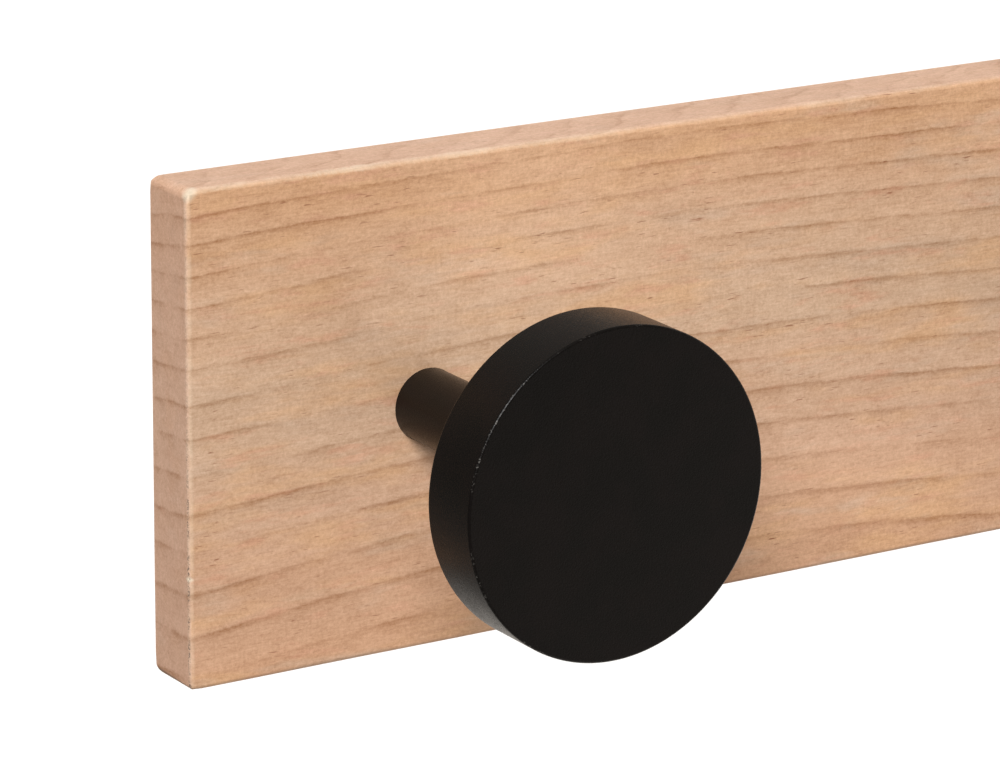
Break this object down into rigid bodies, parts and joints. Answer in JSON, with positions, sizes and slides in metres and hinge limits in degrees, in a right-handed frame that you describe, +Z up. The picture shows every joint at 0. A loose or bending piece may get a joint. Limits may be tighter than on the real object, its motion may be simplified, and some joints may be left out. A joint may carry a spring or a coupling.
{
  "type": "wall hook rack",
  "caption": "Wall hook rack: a flat pale wooden board with a row of black round disc knobs on tube stems, hung on the wall by keyhole plates let into its back.",
  "frame": {"origin": "centre of the board's back face, on the wall plane", "axes": "+X along the board to the right as seen from the room, +Y into the wall, +Z up; the knobs stand out along -Y"},
  "size_m": [0.508, 0.0733, 0.089],
  "materials": {
    "board_wood": "sanded pale alder with a thin matt clear coat",
    "knob_black": "satin black powder coat on turned aluminium",
    "zinc_fastener": "bright zinc plate",
    "hanger_steel": "zinc-plated pressed steel",
    "yellow_zinc_screw": "yellow passivated zinc plate"
  },
  "bodies": {
    "root": {"board": "board_wood", "knob_disc_1": "knob_black", "knob_stem_1": "knob_black", "knob_bolt_1": "zinc_fastener", "knob_washer_1": "zinc_fastener", "knob_disc_2": "knob_black", "knob_stem_2": "knob_black", "knob_bolt_2": "zinc_fastener", "knob_washer_2": "zinc_fastener", "knob_disc_3": "knob_black", "knob_stem_3": "knob_black", "knob_bolt_3": "zinc_fastener", "knob_washer_3": "zinc_fastener", "knob_disc_4": "knob_black", "knob_stem_4": "knob_black", "knob_bolt_4": "zinc_fastener", "knob_washer_4": "zinc_fastener", "hanger_plate_left": "hanger_steel", "hanger_plate_right": "hanger_steel", "hanger_screw_left_lower": "yellow_zinc_screw", "hanger_screw_left_upper": "yellow_zinc_screw", "hanger_screw_right_lower": "yellow_zinc_screw", "hanger_screw_right_upper": "yellow_zinc_screw"}
  },
  "joints": []
}
